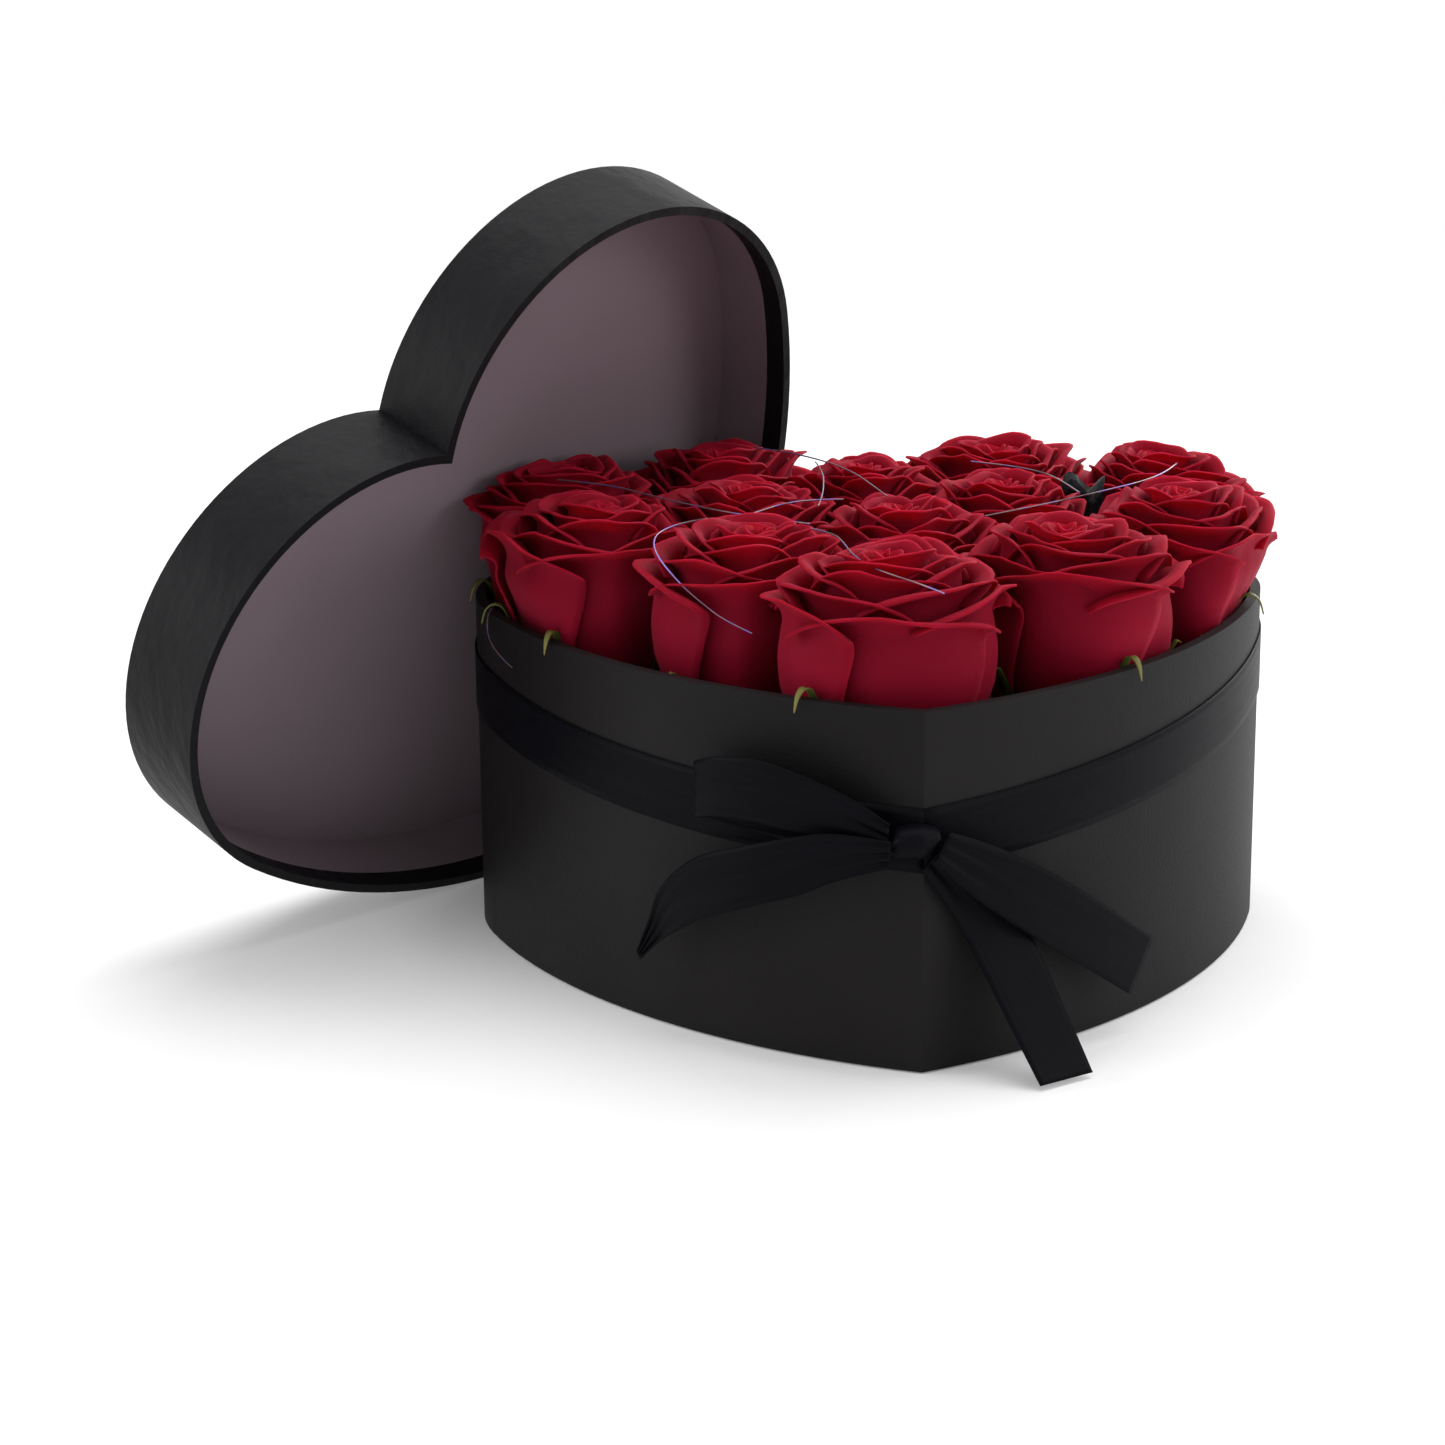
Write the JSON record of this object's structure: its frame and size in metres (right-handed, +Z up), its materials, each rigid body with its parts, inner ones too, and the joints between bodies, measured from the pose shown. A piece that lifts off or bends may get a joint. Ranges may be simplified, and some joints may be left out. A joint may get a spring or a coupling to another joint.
{
  "type": "heart-shaped gift box of soap roses",
  "caption": "Heart-shaped black paperboard gift box filled with red soap roses, tied with a black ribbon bow, its lined lid standing against it.",
  "frame": {"origin": "underside of the box, on the heart's line of symmetry, level with the centres of its two lobes", "axes": "+Z up, -Y towards the heart's tip and the viewer, +X to the viewer's right"},
  "size_m": [0.2864, 0.226, 0.1916],
  "materials": {
    "grey_board": "matte",
    "black_paper": "matte",
    "pale_lining": "matte",
    "foam": "matte",
    "rose_petals": "matte",
    "green_calyx": "satin",
    "black_ribbon": "satin",
    "black_tissue": "matte",
    "iridescent_thread": "gloss"
  },
  "bodies": {
    "box": {"box_wall": "grey_board", "box_floor": "grey_board", "box_wrap": "black_paper", "foam_insert": "foam", "ribbon_band": "black_ribbon", "ribbon_knot": "black_ribbon", "ribbon_loop": "black_ribbon", "ribbon_tail_left": "black_ribbon", "ribbon_tail_short": "black_ribbon", "ribbon_tail_long": "black_ribbon", "tissue_tuft": "black_tissue", "thread_1": "iridescent_thread", "thread_9": "iridescent_thread", "rose_09": "rose_petals", "calyx_09": "green_calyx", "rose_12": "rose_petals", "calyx_12": "green_calyx", "rose_13": "rose_petals", "calyx_13": "green_calyx"},
    "lid": {"lid_panel": "grey_board", "lid_wall": "grey_board", "lid_wrap": "black_paper", "lid_top_paper": "black_paper", "lid_lining": "pale_lining"},
    "bloom_01": {"rose_01": "rose_petals", "calyx_01": "green_calyx", "thread_5": "iridescent_thread"},
    "bloom_02": {"rose_02": "rose_petals", "calyx_02": "green_calyx", "thread_2": "iridescent_thread", "thread_3": "iridescent_thread"},
    "bloom_03": {"rose_03": "rose_petals", "calyx_03": "green_calyx", "thread_6": "iridescent_thread"},
    "bloom_04": {"rose_04": "rose_petals", "calyx_04": "green_calyx", "thread_8": "iridescent_thread"},
    "bloom_05": {"rose_05": "rose_petals", "calyx_05": "green_calyx", "thread_7": "iridescent_thread"},
    "bloom_06": {"rose_06": "rose_petals", "calyx_06": "green_calyx"},
    "bloom_07": {"rose_07": "rose_petals", "calyx_07": "green_calyx", "thread_4": "iridescent_thread"},
    "bloom_08": {"rose_08": "rose_petals", "calyx_08": "green_calyx"},
    "bloom_10": {"rose_10": "rose_petals", "calyx_10": "green_calyx"},
    "bloom_11": {"rose_11": "rose_petals", "calyx_11": "green_calyx"}
  },
  "joints": [
    {"name": "lid_lift", "type": "slide", "parent": "box", "child": "lid", "axis": [-0.6414, 0.7, 0.314], "range_m": [0, 0.12]},
    {"name": "bloom_01_lift", "type": "slide", "parent": "box", "child": "bloom_01", "axis": [0, 0, 1], "range_m": [0, 0.075], "deforming": ["thread_5"]},
    {"name": "bloom_02_lift", "type": "slide", "parent": "box", "child": "bloom_02", "axis": [0, 0, 1], "range_m": [0, 0.075], "deforming": ["thread_2", "thread_3"]},
    {"name": "bloom_03_lift", "type": "slide", "parent": "box", "child": "bloom_03", "axis": [0, 0, 1], "range_m": [0, 0.075], "deforming": ["thread_6"]},
    {"name": "bloom_04_lift", "type": "slide", "parent": "box", "child": "bloom_04", "axis": [0, 0, 1], "range_m": [0, 0.075], "deforming": ["thread_8"]},
    {"name": "bloom_05_lift", "type": "slide", "parent": "box", "child": "bloom_05", "axis": [0, 0, 1], "range_m": [0, 0.075], "deforming": ["thread_7"]},
    {"name": "bloom_06_lift", "type": "slide", "parent": "box", "child": "bloom_06", "axis": [0, 0, 1], "range_m": [0, 0.075]},
    {"name": "bloom_07_lift", "type": "slide", "parent": "box", "child": "bloom_07", "axis": [0, 0, 1], "range_m": [0, 0.075], "deforming": ["thread_4"]},
    {"name": "bloom_08_lift", "type": "slide", "parent": "box", "child": "bloom_08", "axis": [0, 0, 1], "range_m": [0, 0.045], "deforming": ["thread_1"]},
    {"name": "bloom_10_lift", "type": "slide", "parent": "box", "child": "bloom_10", "axis": [0, 0, 1], "range_m": [0, 0.075]},
    {"name": "bloom_11_lift", "type": "slide", "parent": "box", "child": "bloom_11", "axis": [0, 0, 1], "range_m": [0, 0.075]}
  ]
}
